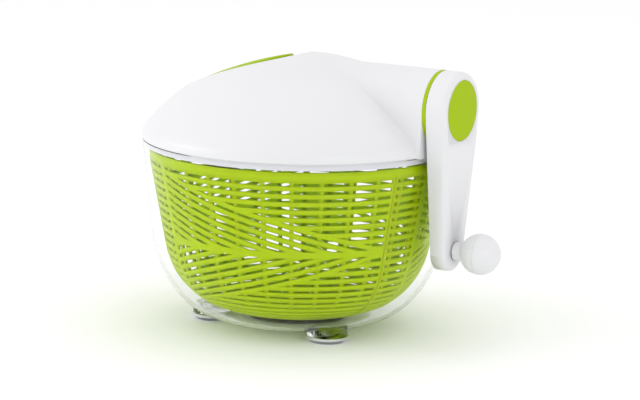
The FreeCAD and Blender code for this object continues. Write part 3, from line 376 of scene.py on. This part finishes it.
def spun(profile, turns=96, centre=AXIS):
    """Turn a closed profile of (radius, height) millimetres into a ring or a solid round an axis."""
    bm = bmesh.new()
    ring = [bm.verts.new(Vector((radius, 0, height)) * MM) for radius, height in profile]
    for start, end in zip(ring, ring[1:] + ring[:1]):
        bm.edges.new((start, end))
    bmesh.ops.spin(bm, geom=bm.verts[:] + bm.edges[:], cent=(0, 0, 0), axis=(0, 0, 1), angle=math.tau,
                   steps=turns, use_merge=True)
    bmesh.ops.remove_doubles(bm, verts=bm.verts, dist=1e-6)
    bmesh.ops.recalc_face_normals(bm, faces=bm.faces)
    bmesh.ops.translate(bm, vec=centre, verts=bm.verts)
    return bm


HUB = (7.05, 10.5)
HUB_TOP = 24.8
hub = spun([(HUB[1], FLOOR_HEIGHT + 0.5), (HUB[1], HUB_TOP - 1), (HUB[1] - 1, HUB_TOP), (0.01, HUB_TOP),
            (0.01, HUB_TOP - 2.2), (HUB[0], HUB_TOP - 2.2), (HUB[0], FLOOR_HEIGHT + 0.5)])
piece("basket_hub", hub, "basket_body", "green_plastic", green_plastic)

LUGS = 4
LUG_SIZE = (6.6, 6.0, 6.7)
LUG_PLACE = (RIM_RADIUS - 6.2, 12.0, RIM_HEIGHT - 3.65)
lugs = bmesh.new()
for index in range(LUGS):
    for side in (-1, 1):
        block = bmesh.ops.create_cube(lugs, size=1)["verts"]
        bmesh.ops.scale(lugs, vec=Vector(LUG_SIZE) * MM, verts=block)
        bmesh.ops.translate(lugs, vec=Vector((LUG_PLACE[0], side * LUG_PLACE[1], LUG_PLACE[2])) * MM, verts=block)
        bmesh.ops.rotate(lugs, verts=block, cent=(0, 0, 0), matrix=Matrix.Rotation(math.tau * index / LUGS, 3, "Z"))
bmesh.ops.translate(lugs, vec=AXIS, verts=lugs.verts)
piece("basket_lugs", lugs, "basket_body", "green_plastic", green_plastic)


# ---- Lid --------------------------------------------------------------------------------------
# The lid is a white ABS dome with a tunnel for the crank's shaft and a flattened back, where a
# soft green pad for the palm is glued in. A white plate closes it from below.

white_plastic = finish("white ABS, satin moulding", "#DFDFE2", 0.34, 0.7, 0.012,
                       Subsurface_Weight=0.05, Subsurface_Radius=(0.002, 0.002, 0.002), Subsurface_Scale=1.0)
green_soft = finish("lime soft-touch elastomer", "#A0BC02", 0.6, 0.5, 0.03, Specular_IOR_Level=0.15)
skin("lid_shell", "white_plastic", white_plastic)
skin("palm_pad", "green_soft", green_soft)
skin("lid_base", "white_plastic", white_plastic)
for node in ("lid_screws", "bracket_screws", "spindle_screw", "crank_screw", "shaft_clip", "thrust_washer"):
    skin(node, "steel", turned_steel)


# ---- Crank ------------------------------------------------------------------------------------
# A white ABS arm on the end of a steel shaft, a green disc snapped in over its screw and a green
# ring behind it. The ball knob is moulded in two halves and turns on a pin pressed into the arm.

skin("crank_arm", "white_plastic", white_plastic)
skin("crank_disc", "green_soft", green_soft)
skin("bearing_ring", "green_soft", green_soft)
skin("knob", "white_plastic", white_plastic)
skin("knob_cap", "white_plastic", white_plastic)
for node in ("crank_shaft", "knob_pin", "spindle"):
    skin(node, "steel", turned_steel)


# ---- Drive ------------------------------------------------------------------------------------
# Under the dome an acetal bevel gear on the shaft turns a pinion on the upright spindle, which
# carries the plate that drives the basket by its rim.

pale_plastic = finish("natural polypropylene, matt moulding", "#E3E6E4", 0.5, 1.0, 0.02)
for node in ("drive_gear", "pinion", "inner_bush", "outer_bush", "spindle_bush"):
    skin(node, "acetal", acetal)
skin("shaft_bracket", "white_plastic", white_plastic)
skin("drive_plate", "pale_plastic", pale_plastic)


# ---- Studio -----------------------------------------------------------------------------------
# A flat pale paper floor under soft light from both sides and from above.

floor = bmesh.new()
bmesh.ops.create_grid(floor, x_segments=1, y_segments=1, size=6)
floor_mesh = bpy.data.meshes.new("floor")
floor.to_mesh(floor_mesh)
floor.free()
paper = bpy.data.materials.new("pale backdrop paper")
paper.use_nodes = True
paper.node_tree.nodes["Principled BSDF"].inputs["Base Color"].default_value = linear("#FEFEFE")
paper.node_tree.nodes["Principled BSDF"].inputs["Roughness"].default_value = 0.9
floor_mesh.materials.append(paper)
floor_piece = bpy.data.objects.new("floor", floor_mesh)
bpy.context.collection.objects.link(floor_piece)

world = bpy.data.worlds.new("soft studio")
bpy.context.scene.world = world
world.use_nodes = True
world.node_tree.nodes["Background"].inputs["Color"].default_value = (1, 1, 1, 1)
world.node_tree.nodes["Background"].inputs["Strength"].default_value = 0.98


def softbox(name, place, target, size, power):
    """A square soft light that faces a target."""
    lamp = bpy.data.lights.new(name, "AREA")
    lamp.size = size
    lamp.energy = power
    made = bpy.data.objects.new(name, lamp)
    made.location = place
    made.rotation_euler = (Vector(target) - Vector(place)).to_track_quat("-Z", "Y").to_euler()
    bpy.context.collection.objects.link(made)


MIDDLE = Vector((0, 0, 0.11))
softbox("left_softbox", (-1.3, -0.9, 0.6), MIDDLE, 1.0, 6)
softbox("right_softbox", (1.5, -1.0, 0.5), MIDDLE, 0.8, 3)
softbox("top_softbox", (0.1, 0.3, 1.6), MIDDLE, 1.2, 2)

VIEW_AZIMUTH = math.radians(30.3)
VIEW_HEIGHT = math.radians(10.65)
VIEW_DISTANCE = 2.5
VIEW_ROLL = math.radians(1.2)
back = Vector((math.sin(VIEW_AZIMUTH) * math.cos(VIEW_HEIGHT), -math.cos(VIEW_AZIMUTH) * math.cos(VIEW_HEIGHT),
               math.sin(VIEW_HEIGHT)))
right = Vector((math.cos(VIEW_AZIMUTH), math.sin(VIEW_AZIMUTH), 0))
aim = AXIS + right * 0.0172 + Vector((0, 0, 0.1012))
lens = bpy.data.cameras.new("camera")
lens.sensor_width = 36
lens.lens = 36 * 3100 / 640
lens.clip_end = 50
camera = bpy.data.objects.new("camera", lens)
camera.location = aim + back * VIEW_DISTANCE
camera.rotation_euler = (Matrix.Rotation(VIEW_ROLL, 3, back) @ back.to_track_quat("Z", "Y").to_matrix()).to_euler()
bpy.context.collection.objects.link(camera)
bpy.context.scene.camera = camera
bpy.context.scene.view_settings.view_transform = "Standard"
bpy.context.scene.cycles.transparent_max_bounces = 16
bpy.context.scene.cycles.transmission_bounces = 12
bpy.context.scene.cycles.max_bounces = 16
